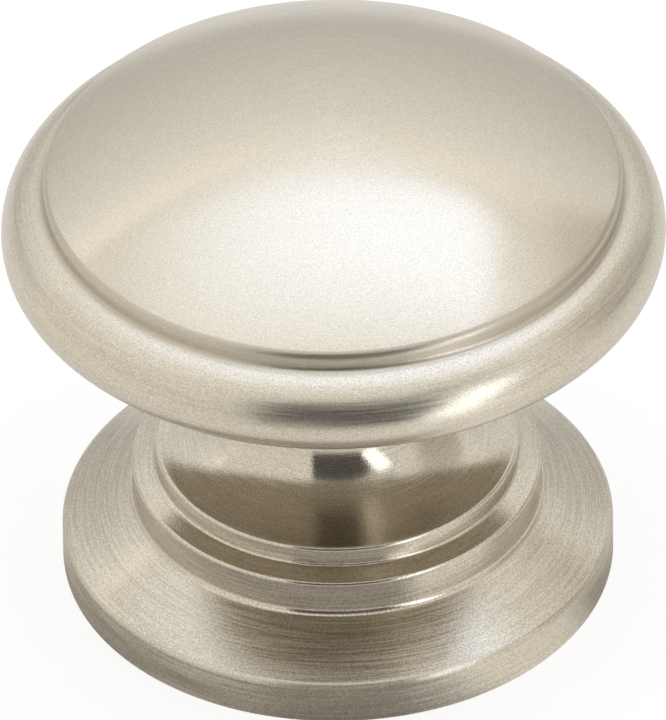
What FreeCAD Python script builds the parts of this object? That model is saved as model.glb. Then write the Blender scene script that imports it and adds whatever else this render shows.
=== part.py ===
import FreeCAD, Part
import math
import os

# Cabinet knob, cast in one piece and turned smooth. Millimetres.
# The back face lies on z = 0, and +Z runs from the door or drawer front out through the head.
# Heights are stacked from the back face to the crown, and add up to 27 mm.

# Round plate that bears on the wood
plate_diameter = 26.8
plate_edge_height = 2.16
plate_slope_rise = 1.81
plate_edge_round = 0.4
plate_back_edge_round = 0.1

# Two collars at the foot of the neck, the upper one stepped in
upper_collar_diameter = 17.7
collar_step = 1.1
lower_collar_height = 1.78
collar_ledge_rise = 0.27
upper_collar_height = 1.03
collar_edge_round = 0.2
upper_collar_root_fillet = 0.15
lower_collar_root_fillet = 0.4

# Neck, coved in from the upper collar to its waist and hollow again under the head
waist_diameter = 9.3
cove_height = 3.4
under_head_hollow_height = 7.4

# Rounded rim of the head, and the step up from it to the crown
head_diameter = 32.0
rim_under_depth = 1.9
rim_round = 2.35
rim_width = 2.05
rim_root_fillet = 0.3
step_height = 0.86

# Domed crown
crown_rise = 4.06
crown_edge_round = 0.5

# Shallow recess in the back, between the plate's bearing rim and the boss around the screw hole
recess_depth = 1.2
bearing_rim_width = 2.2
boss_diameter = 9.0
recess_draft_angle = 10.0
recess_fillet = 0.4

# Blind hole, drilled for tapping to take the machine screw
screw_major_diameter = 4.17
thread_height = 0.36
hole_depth = 12.0
drill_point_angle = 118.0
countersink_clearance = 0.2
countersink_angle = 90.0

# Radii
plate_r = plate_diameter / 2
waist_r = waist_diameter / 2
upper_collar_r = upper_collar_diameter / 2
lower_collar_r = upper_collar_r + collar_step
head_r = head_diameter / 2
rim_centre_r = head_r - rim_round
crown_r = head_r - rim_width
boss_r = boss_diameter / 2
recess_r = plate_r - bearing_rim_width
drill_r = screw_major_diameter / 2 - thread_height
mouth_r = screw_major_diameter / 2 + countersink_clearance

# Levels, each on top of the one before
plate_inner_level = plate_edge_height + plate_slope_rise
lower_collar_level = plate_inner_level + lower_collar_height
ledge_inner_level = lower_collar_level + collar_ledge_rise
upper_collar_level = ledge_inner_level + upper_collar_height
waist_level = upper_collar_level + cove_height
rim_under_level = waist_level + under_head_hollow_height
rim_level = rim_under_level + rim_under_depth
rim_root_level = rim_level + math.sqrt(rim_round ** 2 - (crown_r - rim_centre_r) ** 2)
crown_edge_level = rim_root_level + step_height
crown_top_level = crown_edge_level + crown_rise


def point(radius, level):
    return FreeCAD.Vector(radius, 0, level)


def line(start, end):
    return Part.LineSegment(start, end).toShape()


def arc_about(centre, start, end):
    """Arc from start to end, by the short way round its centre."""
    towards_middle = (start + end) * 0.5 - centre
    towards_middle.normalize()
    middle = centre + towards_middle * start.distanceToPoint(centre)
    return Part.Arc(start, middle, end).toShape()


def quarter_ellipse(centre, beside, above_or_below):
    """Quarter of an upright ellipse, between a point beside its centre and one over or under it."""
    ends = [beside, above_or_below]
    ends.sort(key=centre.distanceToPoint, reverse=True)
    ellipse = Part.Ellipse(ends[0], ends[1], centre)
    return Part.ArcOfEllipse(ellipse, 0, math.pi / 2).toShape()


def turned(outline):
    return Part.Face(outline).revolve(FreeCAD.Vector(0, 0, 0), FreeCAD.Vector(0, 0, 1), 360)


def circle_edges(solid, radius, level):
    """The solid's round edges of this radius at this height."""
    found = []
    for edge in solid.Edges:
        if edge.Degenerated or edge.Curve.TypeId != "Part::GeomCircle":
            continue
        if abs(edge.Curve.Radius - radius) < 0.001 and abs(edge.Curve.Center.z - level) < 0.001:
            found.append(edge)
    return found


def base_edges():
    """Outline from the middle of the back, round the plate and over both collars."""
    corners = [
        point(0, 0),
        point(plate_r, 0),
        point(plate_r, plate_edge_height),
        point(lower_collar_r, plate_inner_level),
        point(lower_collar_r, lower_collar_level),
        point(upper_collar_r, ledge_inner_level),
        point(upper_collar_r, upper_collar_level),
    ]
    return [line(start, end) for start, end in zip(corners, corners[1:])]


def neck_edges():
    """Outline from the upper collar in to the waist, and out again to the underside of the head."""
    collar_edge = point(upper_collar_r, upper_collar_level)
    waist = point(waist_r, waist_level)
    underside = point(rim_centre_r, rim_under_level)
    return [
        quarter_ellipse(point(upper_collar_r, waist_level), waist, collar_edge),
        quarter_ellipse(point(rim_centre_r, waist_level), waist, underside),
    ]


def head_edges():
    """Outline from under the head, round the rim and up the step, to the middle of the crown."""
    underside = point(rim_centre_r, rim_under_level)
    widest = point(head_r, rim_level)
    rim_root = point(crown_r, rim_root_level)
    crown_edge = point(crown_r, crown_edge_level)
    crown_top = point(0, crown_top_level)
    crown_radius = (crown_r ** 2 + crown_rise ** 2) / (2 * crown_rise)
    rim_centre = point(rim_centre_r, rim_level)
    return [
        quarter_ellipse(rim_centre, widest, underside),
        arc_about(rim_centre, widest, rim_root),
        line(rim_root, crown_edge),
        arc_about(point(0, crown_top_level - crown_radius), crown_edge, crown_top),
    ]


def turned_body():
    """The knob's outside form, with its corners softened as polishing leaves them."""
    axis_edge = line(point(0, crown_top_level), point(0, 0))
    body = turned(Part.Wire(base_edges() + neck_edges() + head_edges() + [axis_edge]))
    softened = [
        (plate_r, 0, plate_back_edge_round),
        (plate_r, plate_edge_height, plate_edge_round),
        (lower_collar_r, plate_inner_level, lower_collar_root_fillet),
        (lower_collar_r, lower_collar_level, collar_edge_round),
        (upper_collar_r, ledge_inner_level, upper_collar_root_fillet),
        (upper_collar_r, upper_collar_level, collar_edge_round),
        (crown_r, rim_root_level, rim_root_fillet),
        (crown_r, crown_edge_level, crown_edge_round),
    ]
    for radius, level, rounding in softened:
        body = body.makeFillet(rounding, circle_edges(body, radius, level))
    return body


def back_recess():
    """Ring of metal missing from the back, with drafted walls and a rounded floor."""
    draft = recess_depth * math.tan(math.radians(recess_draft_angle))
    corners = [
        point(boss_r, 0),
        point(boss_r + draft, recess_depth),
        point(recess_r - draft, recess_depth),
        point(recess_r, 0),
    ]
    ring = turned(Part.makePolygon(corners + corners[:1]))
    floor_edges = circle_edges(ring, boss_r + draft, recess_depth)
    floor_edges += circle_edges(ring, recess_r - draft, recess_depth)
    return ring.makeFillet(recess_fillet, floor_edges)


def tapped_hole():
    """Blind hole at its drilled size, with the drill's point and a countersunk mouth."""
    point_depth = drill_r / math.tan(math.radians(drill_point_angle / 2))
    sink_depth = (mouth_r - drill_r) / math.tan(math.radians(countersink_angle / 2))
    drilled = Part.makeCylinder(drill_r, hole_depth)
    drill_point = Part.makeCone(drill_r, 0, point_depth, point(0, hole_depth))
    countersink = Part.makeCone(mouth_r, drill_r, sink_depth)
    return drilled.fuse([drill_point, countersink])


knob = turned_body().cut([back_recess(), tapped_hole()]).Solids[0]

os.makedirs("parts", exist_ok=True)
knob.exportStep("parts/knob.step")
print("knob:", knob.ShapeType, "valid", knob.isValid(), "volume", round(knob.Volume, 1), "mm3")
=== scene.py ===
import math

import bpy
from mathutils import Matrix, Vector


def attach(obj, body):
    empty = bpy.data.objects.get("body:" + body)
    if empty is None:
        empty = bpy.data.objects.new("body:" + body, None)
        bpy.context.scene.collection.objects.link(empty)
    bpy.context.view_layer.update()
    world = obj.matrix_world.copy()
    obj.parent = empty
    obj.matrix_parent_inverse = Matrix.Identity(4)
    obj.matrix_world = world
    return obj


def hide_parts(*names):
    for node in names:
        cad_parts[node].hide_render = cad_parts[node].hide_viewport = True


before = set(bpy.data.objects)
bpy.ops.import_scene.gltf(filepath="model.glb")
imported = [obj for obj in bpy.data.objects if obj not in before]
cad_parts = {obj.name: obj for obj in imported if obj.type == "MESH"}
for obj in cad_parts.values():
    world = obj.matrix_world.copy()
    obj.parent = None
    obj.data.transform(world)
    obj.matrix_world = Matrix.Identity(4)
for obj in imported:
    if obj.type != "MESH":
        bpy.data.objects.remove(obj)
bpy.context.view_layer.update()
print("frame loaded:", sorted(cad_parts))

mm = 0.001
mergeDistance = 0.0005 * mm


def linearColour(hexColour):
    # sRGB hex to the linear values that shaders take
    channels = [int(hexColour[i:i + 2], 16) / 255 for i in (1, 3, 5)]
    linear = [c / 12.92 if c <= 0.04045 else ((c + 0.055) / 1.055) ** 2.4 for c in channels]
    return (*linear, 1.0)


def deselectAll():
    for thing in bpy.context.selected_objects:
        thing.select_set(False)


# The outline is drawn as one chain of vertices in the XZ plane: x is the radius, z the level.
# Every step is given in millimetres.

pen = Vector((0, 0, 0))


def startOutline(name, radius, level):
    deselectAll()
    bpy.ops.mesh.primitive_plane_add(size=mm)
    outline = bpy.context.object
    outline.name = name
    bpy.ops.object.mode_set(mode="EDIT")
    bpy.ops.mesh.select_mode(type="VERT")
    bpy.ops.mesh.merge(type="CENTER")  # the plane shrinks to the single vertex that is drawn with
    pen.xyz = (radius, 0, level)
    bpy.ops.transform.translate(value=pen * mm)
    return outline


def lineTo(radius, level):
    target = Vector((radius, 0, level))
    bpy.ops.mesh.extrude_region_move(TRANSFORM_OT_translate={"value": (target - pen) * mm})
    pen.xyz = target


def arcTo(radius, level, centreRadius, centreLevel, steps):
    # spins the last vertex round a centre, the short way, until it stands at the new radius and level
    centre = Vector((centreRadius, 0, centreLevel))
    start, target = pen - centre, Vector((radius, 0, level)) - centre
    turn = math.atan2(target.z, target.x) - math.atan2(start.z, start.x)
    turn = (turn + math.pi) % (2 * math.pi) - math.pi
    bpy.ops.mesh.spin(steps=steps, angle=turn, center=centre * mm, axis=(0, 1, 0))
    pen.xyz = (radius, 0, level)


def roundTo(cornerRadius, cornerLevel, nextRadius, nextLevel, rounding, steps):
    # runs towards a corner, and turns it with an arc that leaves towards the next point
    corner = Vector((cornerRadius, 0, cornerLevel))
    inward = (pen - corner).normalized()
    outward = (Vector((nextRadius, 0, nextLevel)) - corner).normalized()
    half = inward.angle(outward) / 2
    reach = rounding / math.tan(half)
    first, last = corner + inward * reach, corner + outward * reach
    centre = corner + (inward + outward).normalized() * (rounding / math.sin(half))
    lineTo(first.x, first.z)
    arcTo(last.x, last.z, centre.x, centre.z, steps)


def quarterEllipse(centreLevel, centreRadius, across, upright, fromAngle, toAngle, steps):
    # follows an upright ellipse round its centre, by angles given in degrees
    for i in range(1, steps + 1):
        angle = math.radians(fromAngle + (toAngle - fromAngle) * i / steps)
        lineTo(centreRadius + across * math.cos(angle), centreLevel + upright * math.sin(angle))


# Knob, a zinc die casting with a turned outside. Sizes in millimetres, the same as the solid's.

knobSizes = {
    "plateDiameter": 26.8, "plateEdgeHeight": 2.16, "plateSlopeRise": 1.81,
    "plateEdgeRound": 0.4, "plateBackEdgeRound": 0.1,
    "upperCollarDiameter": 17.7, "collarStep": 1.1,
    "lowerCollarHeight": 1.78, "collarLedgeRise": 0.27, "upperCollarHeight": 1.03,
    "collarEdgeRound": 0.2, "upperCollarRootFillet": 0.15, "lowerCollarRootFillet": 0.4,
    "waistDiameter": 9.3, "coveHeight": 3.4, "underHeadHollowHeight": 7.4,
    "headDiameter": 32.0, "rimUnderDepth": 1.9, "rimRound": 2.35, "rimWidth": 2.05,
    "rimRootFillet": 0.3, "stepHeight": 0.86,
    "crownRise": 4.06, "crownEdgeRound": 0.5,
    "recessDepth": 1.2, "bearingRimWidth": 2.2, "bossDiameter": 9.0, "recessDraft": 10.0, "recessFillet": 0.4,
    "screwMajorDiameter": 4.17, "threadHeight": 0.36, "holeDepth": 12.0, "drillPointAngle": 118.0,
    "countersinkClearance": 0.2, "threadedDepth": 10.6,
    "turnSteps": 240, "smoothAngle": 35,
}

# how many straight pieces each curve of the outline is drawn with
knobSteps = {
    "recessFillet": 5, "plateBackEdge": 4, "plateEdge": 8,
    "lowerCollarRoot": 6, "collarEdge": 6, "upperCollarRoot": 4,
    "cove": 32, "underHead": 30, "rimUnder": 16, "rimTop": 16,
    "rimRoot": 5, "crownEdge": 6, "crown": 40,
}


def drawKnobOutline():
    s, steps = knobSizes, knobSteps
    plateR = s["plateDiameter"] / 2
    waistR = s["waistDiameter"] / 2
    upperR = s["upperCollarDiameter"] / 2
    lowerR = upperR + s["collarStep"]
    headR = s["headDiameter"] / 2
    rimCentreR = headR - s["rimRound"]
    crownR = headR - s["rimWidth"]
    bossR = s["bossDiameter"] / 2
    recessR = plateR - s["bearingRimWidth"]
    majorR = s["screwMajorDiameter"] / 2
    drillR = majorR - s["threadHeight"]
    mouthR = majorR + s["countersinkClearance"]
    draft = s["recessDepth"] * math.tan(math.radians(s["recessDraft"]))

    plateTop = s["plateEdgeHeight"] + s["plateSlopeRise"]
    lowerTop = plateTop + s["lowerCollarHeight"]
    ledgeTop = lowerTop + s["collarLedgeRise"]
    upperTop = ledgeTop + s["upperCollarHeight"]
    waist = upperTop + s["coveHeight"]
    rimUnder = waist + s["underHeadHollowHeight"]
    rimLevel = rimUnder + s["rimUnderDepth"]
    rimRoot = rimLevel + math.sqrt(s["rimRound"] ** 2 - (crownR - rimCentreR) ** 2)
    crownEdge = rimRoot + s["stepHeight"]
    crownTop = crownEdge + s["crownRise"]
    crownRadius = (crownR ** 2 + s["crownRise"] ** 2) / (2 * s["crownRise"])
    crownCentre = crownTop - crownRadius

    # screw hole, from the drill's point out to the countersink
    pointDepth = drillR / math.tan(math.radians(s["drillPointAngle"] / 2))
    knob = startOutline("castKnob", 0, s["holeDepth"] + pointDepth)
    lineTo(drillR, s["holeDepth"])
    lineTo(drillR, s["threadedDepth"])
    lineTo(majorR, s["threadedDepth"] - s["threadHeight"])
    lineTo(majorR, mouthR - majorR)
    lineTo(mouthR, 0)

    # back: boss, recess and bearing rim
    lineTo(bossR, 0)
    roundTo(bossR + draft, s["recessDepth"], recessR - draft, s["recessDepth"],
            s["recessFillet"], steps["recessFillet"])
    roundTo(recessR - draft, s["recessDepth"], recessR, 0, s["recessFillet"], steps["recessFillet"])
    lineTo(recessR, 0)
    roundTo(plateR, 0, plateR, plateTop, s["plateBackEdgeRound"], steps["plateBackEdge"])

    # plate and collars
    roundTo(plateR, s["plateEdgeHeight"], lowerR, plateTop, s["plateEdgeRound"], steps["plateEdge"])
    roundTo(lowerR, plateTop, lowerR, lowerTop, s["lowerCollarRootFillet"], steps["lowerCollarRoot"])
    roundTo(lowerR, lowerTop, upperR, ledgeTop, s["collarEdgeRound"], steps["collarEdge"])
    roundTo(upperR, ledgeTop, upperR, upperTop, s["upperCollarRootFillet"], steps["upperCollarRoot"])

    # neck and the underside of the head; the cove is rounded off where it meets the collar's wall
    edge = s["collarEdgeRound"]
    coveAcross, coveUpright = upperR - waistR, waist - upperTop
    start = edge / coveAcross
    edgeTop = waist - coveUpright * math.sqrt(1 - start ** 2)
    roundTo(upperR, edgeTop, upperR - edge, edgeTop, edge, steps["collarEdge"])
    for i in range(1, steps["cove"] + 1):
        across = math.asin(start) + (math.pi / 2 - math.asin(start)) * i / steps["cove"]
        lineTo(upperR - coveAcross * math.sin(across), waist - coveUpright * math.cos(across))
    quarterEllipse(waist, rimCentreR, rimCentreR - waistR, rimUnder - waist, 180, 90, steps["underHead"])
    quarterEllipse(rimLevel, rimCentreR, s["rimRound"], -s["rimUnderDepth"], 90, 0, steps["rimUnder"])

    # rim, step and crown
    fillet = s["rimRootFillet"]
    filletR = crownR + fillet
    filletLevel = rimLevel + math.sqrt((s["rimRound"] + fillet) ** 2 - (filletR - rimCentreR) ** 2)
    share = s["rimRound"] / (s["rimRound"] + fillet)
    arcTo(rimCentreR + (filletR - rimCentreR) * share, rimLevel + (filletLevel - rimLevel) * share,
          rimCentreR, rimLevel, steps["rimTop"])
    arcTo(crownR, filletLevel, filletR, filletLevel, steps["rimRoot"])
    edge = s["crownEdgeRound"]
    edgeR = crownR - edge
    edgeLevel = crownCentre + math.sqrt((crownRadius - edge) ** 2 - edgeR ** 2)
    lineTo(crownR, edgeLevel)
    stretch = crownRadius / (crownRadius - edge)
    arcTo(edgeR * stretch, crownCentre + (edgeLevel - crownCentre) * stretch, edgeR, edgeLevel,
          steps["crownEdge"])
    arcTo(0, crownTop, 0, crownCentre, steps["crown"])
    return knob


def makeKnob():
    knob = drawKnobOutline()
    bpy.ops.mesh.select_all(action="SELECT")
    bpy.ops.mesh.spin(steps=knobSizes["turnSteps"], angle=2 * math.pi, center=(0, 0, 0), axis=(0, 0, 1))
    bpy.ops.mesh.select_all(action="SELECT")
    bpy.ops.mesh.remove_doubles(threshold=mergeDistance)
    bpy.ops.mesh.normals_make_consistent(inside=False)
    bpy.ops.object.mode_set(mode="OBJECT")
    bpy.ops.object.shade_smooth_by_angle(angle=math.radians(knobSizes["smoothAngle"]))
    weighting = knob.modifiers.new("evenShading", "WEIGHTED_NORMAL")  # flat walls reflect as flat ones
    weighting.keep_sharp = True
    bpy.ops.object.modifier_apply(modifier=weighting.name)
    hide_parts("knob")
    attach(knob, "root")
    print("knob turned:", len(knob.data.polygons), "faces")
    return knob


knob = makeKnob()

# Thread in the screw hole, 8-32 UNC: a ridge wound round the wall of the bore

threadSizes = {
    "pitch": 25.4 / 32, "stepsPerTurn": 48, "smoothAngle": 25,
    "baseShare": 7 / 8, "crestShare": 1 / 4,  # widths of the ridge's foot and crest, as shares of the pitch
    "sunkInWall": 0.03, "cutBelow": 2.0, "cutterSides": 96,
}


def makeHoleThread():
    k, t = knobSizes, threadSizes
    majorR = k["screwMajorDiameter"] / 2
    crestR = majorR - k["threadHeight"]
    baseR = majorR + t["sunkInWall"]
    baseHalf = t["pitch"] * t["baseShare"] / 2
    crestHalf = t["pitch"] * t["crestShare"] / 2
    start = -t["pitch"]
    thread = startOutline("holeThread", baseR, start - baseHalf)
    lineTo(crestR, start - crestHalf)
    lineTo(crestR, start + crestHalf)
    lineTo(baseR, start + baseHalf)
    bpy.ops.mesh.select_all(action="SELECT")
    bpy.ops.mesh.edge_face_add()
    bpy.ops.mesh.delete(type="ONLY_FACE")
    bpy.ops.object.mode_set(mode="OBJECT")
    winding = thread.modifiers.new("winding", "SCREW")
    winding.screw_offset = t["pitch"] * mm
    winding.iterations = int((k["threadedDepth"] - start) / t["pitch"])
    winding.steps = winding.render_steps = t["stepsPerTurn"]
    bpy.ops.object.modifier_apply(modifier=winding.name)
    bpy.ops.object.mode_set(mode="EDIT")
    bpy.ops.mesh.select_all(action="SELECT")
    bpy.ops.mesh.remove_doubles(threshold=mergeDistance)
    bpy.ops.mesh.fill_holes(sides=0)
    bpy.ops.mesh.select_all(action="SELECT")
    bpy.ops.mesh.normals_make_consistent(inside=False)
    bpy.ops.object.mode_set(mode="OBJECT")
    bpy.ops.object.shade_smooth_by_angle(angle=math.radians(t["smoothAngle"]))
    cutByCountersink(thread, majorR + k["countersinkClearance"])
    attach(thread, "root")
    print("thread wound:", len(thread.data.polygons), "faces")
    return thread


def cutByCountersink(thread, mouthR):
    # the mouth of the hole is cut at 45 degrees, and everything below the back goes with it
    deselectAll()
    below = threadSizes["cutBelow"]
    reach = (mouthR + below) * mm
    bpy.ops.mesh.primitive_cone_add(vertices=threadSizes["cutterSides"], radius1=reach, radius2=0,
                                    depth=reach, location=(0, 0, (mouthR - below) / 2 * mm))
    cutter = bpy.context.object
    deselectAll()
    bpy.context.view_layer.objects.active = thread
    thread.select_set(True)
    cut = thread.modifiers.new("countersink", "BOOLEAN")
    cut.object = cutter
    cut.operation = "DIFFERENCE"
    bpy.ops.object.modifier_apply(modifier=cut.name)
    bpy.data.objects.remove(cutter)


holeThread = makeHoleThread()

# Camera, a long lens looking down at the knob

cameraSettings = {
    "aim": Vector((-0.118, 0, 11.638)) * mm,
    "distance": 985.7 * mm, "elevation": 38.55, "roll": -0.854, "lens": 1018.7,
    "clipStart": 0.01, "clipEnd": 10,
}


def makeCamera():
    s = cameraSettings
    elevation, roll = math.radians(s["elevation"]), math.radians(s["roll"])
    back = Vector((0, -math.cos(elevation), math.sin(elevation)))
    up = Vector((0, math.sin(elevation), math.cos(elevation)))
    right = Vector((1, 0, 0))
    rolledRight = right * math.cos(roll) + up * math.sin(roll)
    rolledUp = up * math.cos(roll) - right * math.sin(roll)
    data = bpy.data.cameras.new("camera")
    data.lens = s["lens"]
    data.clip_start = s["clipStart"]
    data.clip_end = s["clipEnd"]
    camera = bpy.data.objects.new("camera", data)
    bpy.context.scene.collection.objects.link(camera)
    turned = Matrix((rolledRight, rolledUp, back)).transposed().to_4x4()
    camera.matrix_world = Matrix.Translation(s["aim"] + back * s["distance"]) @ turned
    bpy.context.scene.camera = camera
    print("camera placed:", s["elevation"], "degrees up")


makeCamera()


# Materials

def addNode(tree, kind, inputs=None, **settings):
    # inputs take a value or another node's output
    node = tree.nodes.new(kind)
    for name, value in settings.items():
        setattr(node, name, value)
    for name, value in (inputs or {}).items():
        if isinstance(value, bpy.types.NodeSocket):
            tree.links.new(value, node.inputs[name])
        else:
            node.inputs[name].default_value = value
    return node


def newMaterial(name):
    material = bpy.data.materials.new(name)
    material.use_nodes = True
    material.node_tree.nodes.clear()
    return material


nickelLook = {
    "darkColour": "#c2b8a4", "lightColour": "#e6ddca",  # warm greys of nickel, in the grain's pits and peaks
    "paintedShadeColour": "#7d7361",  # painted shade: browner and darker, most under the head and in the groove by the crown
    # roughness, strength of the brush's strokes, and share of the painted shade colour
    "neckFinish": (0.15, 0.5, 0.08), "collarFinish": (0.18, 0.6, 0.1), "plateFinish": (0.15, 0.7, 0.15),
    "plateEdgeFinish": (0.38, 0.7, 0.0),
    "underHeadFinish": (0.37, 0.3, 0.65), "rimFinish": (0.30, 0.45, 0.04),
    "grooveFinish": (0.36, 0.2, 0.22), "crownFinish": (0.16, 0.2, 0.0),
    "turnedAnisotropy": 0.9, "rimAnisotropy": 0.3, "strokeTurn": 0.25,
    "brushRange": (0.35, 0.65), "roughnessRange": (0.78, 1.22),  # noise of the brush, and roughness from it
    "fleckBase": 0.25, "fleckByStroke": 1.7, "fleckReach": 0.22,
    # strokes and grain are drawn coarser than real ones, so that they show; the arc is in radians
    "brushWidth": 0.08 * mm, "brushArc": 0.30, "brushDepth": 0.003 * mm,
    "grainSize": 0.08 * mm, "grainDepth": 0.0025 * mm,
}

# where one finish gives way to the next: by radius or by height, over this stretch in millimetres
turnedZones = (
    ("radius", 8.4, 8.9, "collarFinish"), ("radius", 10.0, 10.4, "plateFinish"),
    ("radius", 13.15, 13.35, "plateEdgeFinish"),
    ("height", 10.3, 10.9, "underHeadFinish"), ("height", 18.0, 18.6, "crownFinish"),
)
rimZones = (
    ("radius", 0.0, 0.1, "grooveFinish"), ("radius", 14.05, 14.3, "rimFinish"),
    ("height", 18.6, 18.0, "underHeadFinish"),
)


def makeSatinNickel(name, anisotropy, zones):
    # soft circular brushing over a fine satin grain: broad blurred reflections with a silky sparkle
    s = nickelLook
    material = newMaterial(name)
    tree = material.node_tree
    place = addNode(tree, "ShaderNodeTexCoord").outputs["Object"]
    parts = addNode(tree, "ShaderNodeSeparateXYZ", {0: place})
    flat = addNode(tree, "ShaderNodeCombineXYZ", {"X": parts.outputs["X"], "Y": parts.outputs["Y"]})
    radius = addNode(tree, "ShaderNodeVectorMath", {0: flat.outputs[0]}, operation="LENGTH")
    around = addNode(tree, "ShaderNodeVectorMath", {0: flat.outputs[0]}, operation="NORMALIZE")
    arcs = addNode(tree, "ShaderNodeVectorMath", {0: around.outputs[0], "Scale": 1 / s["brushArc"]},
                   operation="SCALE")
    arcParts = addNode(tree, "ShaderNodeSeparateXYZ", {0: arcs.outputs[0]})
    across = addNode(tree, "ShaderNodeMath", {0: radius.outputs["Value"], 1: 1 / s["brushWidth"]},
                     operation="MULTIPLY")
    upright = addNode(tree, "ShaderNodeMath", {0: parts.outputs["Z"], 1: 1 / s["brushWidth"]},
                      operation="MULTIPLY")
    brushPlace = addNode(tree, "ShaderNodeCombineXYZ", {
        "X": arcParts.outputs["X"], "Y": arcParts.outputs["Y"], "Z": across.outputs[0]})
    brush = addNode(tree, "ShaderNodeTexNoise", {
        "Vector": brushPlace.outputs[0], "W": upright.outputs[0], "Scale": 1.0, "Detail": 2.0},
        noise_dimensions="4D")
    grain = addNode(tree, "ShaderNodeTexNoise", {
        "Vector": place, "Scale": 1 / s["grainSize"], "Detail": 1.0})
    tangent = addNode(tree, "ShaderNodeTangent", direction_type="RADIAL", axis="Z")

    # the brush's strokes show most on the plate and the collars, and least on the crown
    measures = {"radius": radius.outputs["Value"], "height": parts.outputs["Z"]}
    finish = addNode(tree, "ShaderNodeCombineXYZ", dict(enumerate(s["neckFinish"])))
    for measure, start, end, nextFinish in zones:
        share = addNode(tree, "ShaderNodeMapRange", {
            "Value": measures[measure], "From Min": start * mm, "From Max": end * mm})
        before = finish.outputs[1 if finish.bl_idname == "ShaderNodeMix" else 0]
        finish = addNode(tree, "ShaderNodeMix", {0: share.outputs[0], 4: before, 5: s[nextFinish]},
                         data_type="VECTOR")
    finishParts = addNode(tree, "ShaderNodeSeparateXYZ", {0: finish.outputs[1]})
    strokes, paintedShade = finishParts.outputs["Y"], finishParts.outputs["Z"]
    spread = addNode(tree, "ShaderNodeMapRange", {
        "Value": brush.outputs[0], "From Min": s["brushRange"][0], "From Max": s["brushRange"][1],
        "To Min": s["roughnessRange"][0], "To Max": s["roughnessRange"][1]})
    roughness = addNode(tree, "ShaderNodeMath", {0: spread.outputs[0], 1: finishParts.outputs["X"]},
                        operation="MULTIPLY")

    # light and dark flecks: fine grain, crossed by the strokes of the brush
    fleck = addNode(tree, "ShaderNodeMath", {0: brush.outputs[0], 1: strokes, 2: grain.outputs[0]},
                    operation="MULTIPLY_ADD")
    middle = addNode(tree, "ShaderNodeMath", {0: strokes, 1: 0.5, 2: 0.5}, operation="MULTIPLY_ADD")
    offset = addNode(tree, "ShaderNodeMath", {0: fleck.outputs[0], 1: middle.outputs[0]},
                     operation="SUBTRACT")
    contrast = addNode(tree, "ShaderNodeMath", {0: strokes, 1: s["fleckByStroke"], 2: s["fleckBase"]},
                       operation="MULTIPLY_ADD")
    contrasted = addNode(tree, "ShaderNodeMath", {0: offset.outputs[0], 1: contrast.outputs[0]},
                         operation="MULTIPLY")
    fleckShare = addNode(tree, "ShaderNodeMapRange", {
        "Value": contrasted.outputs[0], "From Min": -s["fleckReach"], "From Max": s["fleckReach"]})
    colour = addNode(tree, "ShaderNodeMix", {
        0: fleckShare.outputs[0], 6: linearColour(s["darkColour"]), 7: linearColour(s["lightColour"])},
        data_type="RGBA")
    # painted shade: each zone's share darkens the colour towards the shade colour, most under the head and in
    # the groove
    colour = addNode(tree, "ShaderNodeMix", {
        0: paintedShade, 6: colour.outputs[2], 7: linearColour(s["paintedShadeColour"])}, data_type="RGBA")
    grainBump = addNode(tree, "ShaderNodeBump", {
        "Height": grain.outputs[0], "Distance": s["grainDepth"], "Strength": 1.0})
    brushBump = addNode(tree, "ShaderNodeBump", {
        "Height": brush.outputs[0], "Distance": s["brushDepth"], "Strength": strokes,
        "Normal": grainBump.outputs[0]})
    shader = addNode(tree, "ShaderNodeBsdfPrincipled", {
        "Base Color": colour.outputs[2], "Metallic": 1.0, "Roughness": roughness.outputs[0],
        "Anisotropic": anisotropy, "Anisotropic Rotation": s["strokeTurn"], "Tangent": tangent.outputs[0],
        "Normal": brushBump.outputs[0]})
    addNode(tree, "ShaderNodeOutputMaterial", {"Surface": shader.outputs[0]})
    return material


castingLook = {
    "colour": "#b9b1a3", "roughness": 0.46,
    "pebbleSize": 0.35 * mm, "pebbleDepth": 0.03 * mm,
}


def makePlatedCasting():
    # the back as it came from the die, plated but never polished: a dull pebbly skin
    s = castingLook
    material = newMaterial("platedCasting")
    tree = material.node_tree
    place = addNode(tree, "ShaderNodeTexCoord").outputs["Object"]
    pebble = addNode(tree, "ShaderNodeTexNoise", {
        "Vector": place, "Scale": 1 / s["pebbleSize"], "Detail": 3.0})
    bump = addNode(tree, "ShaderNodeBump", {"Height": pebble.outputs[0], "Distance": s["pebbleDepth"]})
    shader = addNode(tree, "ShaderNodeBsdfPrincipled", {
        "Base Color": linearColour(s["colour"]), "Metallic": 1.0, "Roughness": s["roughness"],
        "Normal": bump.outputs[0]})
    addNode(tree, "ShaderNodeOutputMaterial", {"Surface": shader.outputs[0]})
    return material


cutZincLook = {
    "colour": "#b4b7ba", "roughness": 0.3,
    "ringWidth": 0.05 * mm, "ringDepth": 0.002 * mm,
}


def makeCutZinc():
    # bare zinc where the drill and the tap cut through the plating: bluish, with fine tool rings
    s = cutZincLook
    material = newMaterial("cutZinc")
    tree = material.node_tree
    place = addNode(tree, "ShaderNodeTexCoord").outputs["Object"]
    level = addNode(tree, "ShaderNodeSeparateXYZ", {0: place}).outputs["Z"]
    rings = addNode(tree, "ShaderNodeTexNoise", {"W": level, "Scale": 1 / s["ringWidth"], "Detail": 1.0},
                    noise_dimensions="1D")
    bump = addNode(tree, "ShaderNodeBump", {"Height": rings.outputs[0], "Distance": s["ringDepth"]})
    shader = addNode(tree, "ShaderNodeBsdfPrincipled", {
        "Base Color": linearColour(s["colour"]), "Metallic": 1.0, "Roughness": s["roughness"],
        "Normal": bump.outputs[0]})
    addNode(tree, "ShaderNodeOutputMaterial", {"Surface": shader.outputs[0]})
    return material


# levels and reaches, in millimetres, that part one finish from the next
dressPlaces = {
    "headBottom": 13, "edgeTop": 23.3, "crownWallBottom": 20, "crownWallDepth": 0.25,
    "recessRoom": 0.01, "drillPointRoom": 2,
}


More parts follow.
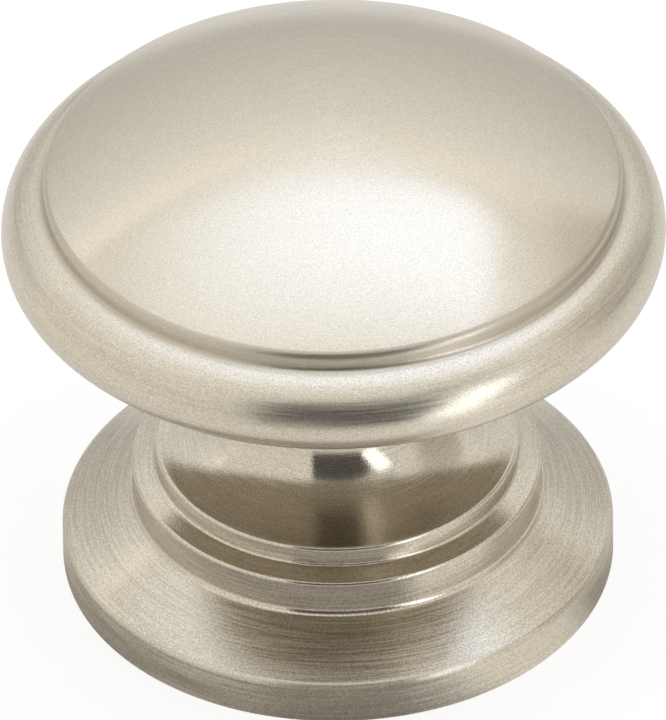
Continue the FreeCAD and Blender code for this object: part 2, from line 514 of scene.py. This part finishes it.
def dressKnob():
    # materials by place: the rim with the head's underside, the hole, the recess in the back, and the rest
    k, s, d = knobSizes, nickelLook, dressPlaces
    wallR = k["headDiameter"] / 2 - k["rimWidth"] - d["crownWallDepth"]
    mouthR = k["screwMajorDiameter"] / 2 + k["countersinkClearance"]
    recessR = k["plateDiameter"] / 2 - k["bearingRimWidth"]
    recessTop = k["recessDepth"] + d["recessRoom"]
    holeTop = k["holeDepth"] + d["drillPointRoom"]
    cutZinc = makeCutZinc()
    knob.data.materials.append(makeSatinNickel("satinNickel", s["turnedAnisotropy"], turnedZones))
    knob.data.materials.append(makeSatinNickel("satinNickelRim", s["rimAnisotropy"], rimZones))
    knob.data.materials.append(makePlatedCasting())
    knob.data.materials.append(cutZinc)
    turnedPlace, rimPlace, castingPlace, zincPlace = range(4)
    for face in knob.data.polygons:
        reach, level = face.center.xy.length / mm, face.center.z / mm
        if reach < mouthR and level < holeTop:
            face.material_index = zincPlace
        elif reach < recessR and level < recessTop:
            face.material_index = castingPlace
        elif d["headBottom"] < level < d["edgeTop"] and (reach > wallR or level < d["crownWallBottom"]):
            face.material_index = rimPlace
        else:
            face.material_index = turnedPlace
    holeThread.data.materials.append(cutZinc)
    print("knob dressed:", len(knob.data.materials), "materials")


dressKnob()

# Stage: a pale sweep in a white tent, with a dark opening for the camera and a small reflector
# near the knob.
# Cards are planes that only reflections and light see. Their softness is the share of the card's
# half width that each side fades over, as left, right, bottom and top.

stageCards = {
    "ceilingSoftbox": {
        "centre": (-107, 40, 480), "size": (786, 560), "facing": (0, 0, -1), "top": (0, 1, 0),
        "strength": (2.0, 2.0), "colour": "#e2ebff", "soft": (0.05, 1.45, 1.25, 0.28)},
    "backWall": {
        "centre": (-140, 206, 175), "size": (820, 350), "facing": (0, -1, 0), "top": (0, 0, 1),
        "strength": (0.62, 1.36), "colour": "#fbfcff", "soft": (0.5, 0.3, 0.01, 0.3)},
    "rightPanel": {
        "centre": (390, 125, 220), "size": (450, 480), "facing": (-1, 0, 0), "top": (0, 0, 1),
        "strength": (0.50, 0.76), "colour": "#fffdfa", "soft": (0.1, 0.7, 0.01, 0.2)},
    "cameraOpening": {
        "centre": (50, -500, 185), "size": (602, 670), "facing": (0, 1, 0), "top": (0, 0, 1),
        "strength": (0.09, 0.12), "colour": "#ffffff", "soft": (0.12, 0.10, 0.02, 0.20)},
    "openingShade": {
        "centre": (330, -330, 420), "size": (330, 300), "facing": (-1, 1, -0.9), "top": (0, 0, 1),
        "strength": (0.55, 0.75), "colour": "#ffffff", "soft": (0.5, 0.5, 0.5, 0.6)},
    "reflector": {
        "centre": (44, -53, 25), "size": (23, 58), "facing": (-1, 1, 0), "top": (0.33, 0.33, 0.88),
        "strength": (2.6, 2.6), "colour": "#eff4ff", "soft": (0.3, 0.35, 0.2, 0.4)},
}


def makeCardMaterial(name, strength, colour, soft):
    material = newMaterial(name)
    tree = material.node_tree
    place = addNode(tree, "ShaderNodeTexCoord").outputs["UV"]
    parts = addNode(tree, "ShaderNodeSeparateXYZ", {0: place})
    mask = None
    for i, share in enumerate(soft):
        nearEdge, farEdge = (0.0, 1.0) if i % 2 == 0 else (1.0, 0.0)
        fade = addNode(tree, "ShaderNodeMapRange", {
            "Value": parts.outputs["X" if i < 2 else "Y"], "From Min": nearEdge,
            "From Max": nearEdge + (farEdge - nearEdge) * share / 2}, interpolation_type="SMOOTHSTEP")
        if mask:
            fade = addNode(tree, "ShaderNodeMath", {0: mask, 1: fade.outputs[0]}, operation="MULTIPLY")
        mask = fade.outputs[0]
    level = addNode(tree, "ShaderNodeMapRange", {
        "Value": parts.outputs["Y"], "To Min": strength[0], "To Max": strength[1]})
    light = addNode(tree, "ShaderNodeEmission", {
        "Color": linearColour(colour), "Strength": level.outputs[0]})
    clear = addNode(tree, "ShaderNodeBsdfTransparent")
    fromBehind = addNode(tree, "ShaderNodeNewGeometry").outputs["Backfacing"]
    facing = addNode(tree, "ShaderNodeMath", {0: 1.0, 1: fromBehind}, operation="SUBTRACT")
    shown = addNode(tree, "ShaderNodeMath", {0: mask, 1: facing.outputs[0]}, operation="MULTIPLY")
    mix = addNode(tree, "ShaderNodeMixShader", {
        0: shown.outputs[0], 1: clear.outputs[0], 2: light.outputs[0]})
    addNode(tree, "ShaderNodeOutputMaterial", {"Surface": mix.outputs[0]})
    return material


def makeCard(name, centre, size, facing, top, strength, colour, soft):
    deselectAll()
    bpy.ops.mesh.primitive_plane_add(size=1)
    card = bpy.context.object
    card.name = name
    normal = Vector(facing).normalized()
    across = Vector(top).cross(normal).normalized()
    turned = Matrix((across, normal.cross(across), normal)).transposed().to_4x4()
    stretched = Matrix.Diagonal((size[0] * mm, size[1] * mm, 1, 1))
    card.matrix_world = Matrix.Translation(Vector(centre) * mm) @ turned @ stretched
    card.data.materials.append(makeCardMaterial(name, strength, colour, soft))
    card.visible_camera = False
    return card


cards = [makeCard(name, **settings) for name, settings in stageCards.items()]

floorSettings = {
    "back": 206, "front": -88, "side": 450, "openRadius": 13,
    "colour": "#f6f3ee",  # white sweep, a little warm
    "shadedColour": "#a19e9a",  # painted shadow of the knob round its foot, which only the metal mirrors
    "shadeMiddle": -7, "shadeStart": 19.5, "shadeEnd": 13,
    "glintPlace": (13, -11.5, 0), "glintStart": 8, "glintEnd": 3.5,  # painted glint, a bright patch that only metal mirrors
    "glintShare": 0.9, "mirroredShare": 0.06, "seenShare": 0.75, "seenWhite": 1.08,
}


def makeFloor():
    # the lens sees it mostly as plain white, with the knob's shadow; metal mirrors it as it is lit, with a
    # painted shadow round the knob's foot and a painted glint
    s = floorSettings
    deselectAll()
    bpy.ops.mesh.primitive_plane_add(size=1)
    floor = bpy.context.object
    floor.name = "floor"
    middle = (s["back"] + s["front"]) / 2
    bpy.ops.object.mode_set(mode="EDIT")
    bpy.ops.transform.resize(value=(2 * s["side"] * mm, (s["back"] - s["front"]) * mm, 1))
    bpy.ops.transform.translate(value=(0, middle * mm, 0))
    bpy.ops.object.mode_set(mode="OBJECT")
    material = newMaterial("whiteSweep")
    tree = material.node_tree
    path = addNode(tree, "ShaderNodeLightPath")
    place = addNode(tree, "ShaderNodeTexCoord").outputs["Object"]
    # painted glint on the floor near the knob, seen only in the metal
    fromGlint = addNode(tree, "ShaderNodeVectorMath", {0: place, 1: Vector(s["glintPlace"]) * mm},
                        operation="DISTANCE")
    glint = addNode(tree, "ShaderNodeMapRange", {
        "Value": fromGlint.outputs["Value"],
        "From Min": s["glintStart"] * mm, "From Max": s["glintEnd"] * mm,
        "To Min": s["mirroredShare"], "To Max": s["glintShare"]}, interpolation_type="SMOOTHSTEP")
    mirrored = addNode(tree, "ShaderNodeMath", {
        0: path.outputs["Is Glossy Ray"], 1: glint.outputs[0]}, operation="MULTIPLY")
    share = addNode(tree, "ShaderNodeMath", {
        0: path.outputs["Is Camera Ray"], 1: s["seenShare"], 2: mirrored.outputs[0]},
        operation="MULTIPLY_ADD")
    # painted shadow round the knob's foot, shown only to glossy rays
    away = addNode(tree, "ShaderNodeVectorMath", {0: place, 1: (0, s["shadeMiddle"] * mm, 0)},
                   operation="DISTANCE")
    shade = addNode(tree, "ShaderNodeMapRange", {
        "Value": away.outputs["Value"], "From Min": s["shadeStart"] * mm, "From Max": s["shadeEnd"] * mm},
        interpolation_type="SMOOTHSTEP")
    shaded = addNode(tree, "ShaderNodeMath", {0: shade.outputs[0], 1: path.outputs["Is Glossy Ray"]},
                     operation="MULTIPLY")
    colour = addNode(tree, "ShaderNodeMix", {
        0: shaded.outputs[0], 6: linearColour(s["colour"]), 7: linearColour(s["shadedColour"])},
        data_type="RGBA")
    lit = addNode(tree, "ShaderNodeBsdfDiffuse", {"Color": colour.outputs[2]})
    white = addNode(tree, "ShaderNodeEmission", {
        "Color": (1, 1, 1, 1), "Strength": s["seenWhite"]})
    top = addNode(tree, "ShaderNodeMixShader", {
        0: share.outputs[0], 1: lit.outputs[0], 2: white.outputs[0]})
    clear = addNode(tree, "ShaderNodeBsdfTransparent")
    fromBelow = addNode(tree, "ShaderNodeNewGeometry").outputs["Backfacing"]
    reach = addNode(tree, "ShaderNodeVectorMath", {0: place}, operation="LENGTH")
    underPlate = addNode(tree, "ShaderNodeMath", {0: reach.outputs["Value"], 1: s["openRadius"] * mm},
                         operation="LESS_THAN")  # lets light into the recess when the back is looked at
    seeThrough = addNode(tree, "ShaderNodeMath", {0: fromBelow, 1: underPlate.outputs[0]},
                         operation="MAXIMUM")
    mix = addNode(tree, "ShaderNodeMixShader", {
        0: seeThrough.outputs[0], 1: top.outputs[0], 2: clear.outputs[0]})
    addNode(tree, "ShaderNodeOutputMaterial", {"Surface": mix.outputs[0]})
    floor.data.materials.append(material)
    return floor


makeFloor()

# places from straight down (0) to straight up (1), and how bright the tent is there
worldLevels = ((0.0, 0.80), (0.46, 0.84), (0.5, 0.86), (0.65, 0.92), (0.85, 1.0), (1.0, 1.08))
worldStrength = 2.0  # the ramp holds each level divided by this, so that its colours stay below 1


def makeWorld():
    # pale tent walls, brighter towards the top; the lens sees plain white
    world = bpy.data.worlds.new("tent")
    world.use_nodes = True
    tree = world.node_tree
    tree.nodes.clear()
    direction = addNode(tree, "ShaderNodeTexCoord").outputs["Generated"]
    parts = addNode(tree, "ShaderNodeSeparateXYZ", {0: direction})
    height = addNode(tree, "ShaderNodeMapRange", {"Value": parts.outputs["Z"], "From Min": -1.0})
    ramp = addNode(tree, "ShaderNodeValToRGB", {0: height.outputs[0]})
    elements = ramp.color_ramp.elements
    while len(elements) < len(worldLevels):
        elements.new(0.5)
    for element, (position, level) in zip(elements, worldLevels):
        element.position = position
        element.color = (*[level / worldStrength] * 3, 1)
    light = addNode(tree, "ShaderNodeBackground", {"Color": ramp.outputs[0], "Strength": worldStrength})
    white = addNode(tree, "ShaderNodeBackground", {"Color": (1, 1, 1, 1), "Strength": 1.0})
    seen = addNode(tree, "ShaderNodeLightPath").outputs["Is Camera Ray"]
    mix = addNode(tree, "ShaderNodeMixShader", {0: seen, 1: light.outputs[0], 2: white.outputs[0]})
    addNode(tree, "ShaderNodeOutputWorld", {"Surface": mix.outputs[0]})
    bpy.context.scene.world = world


makeWorld()
print("stage set:", len(cards), "cards")

bpy.context.scene.view_settings.view_transform = "Standard"
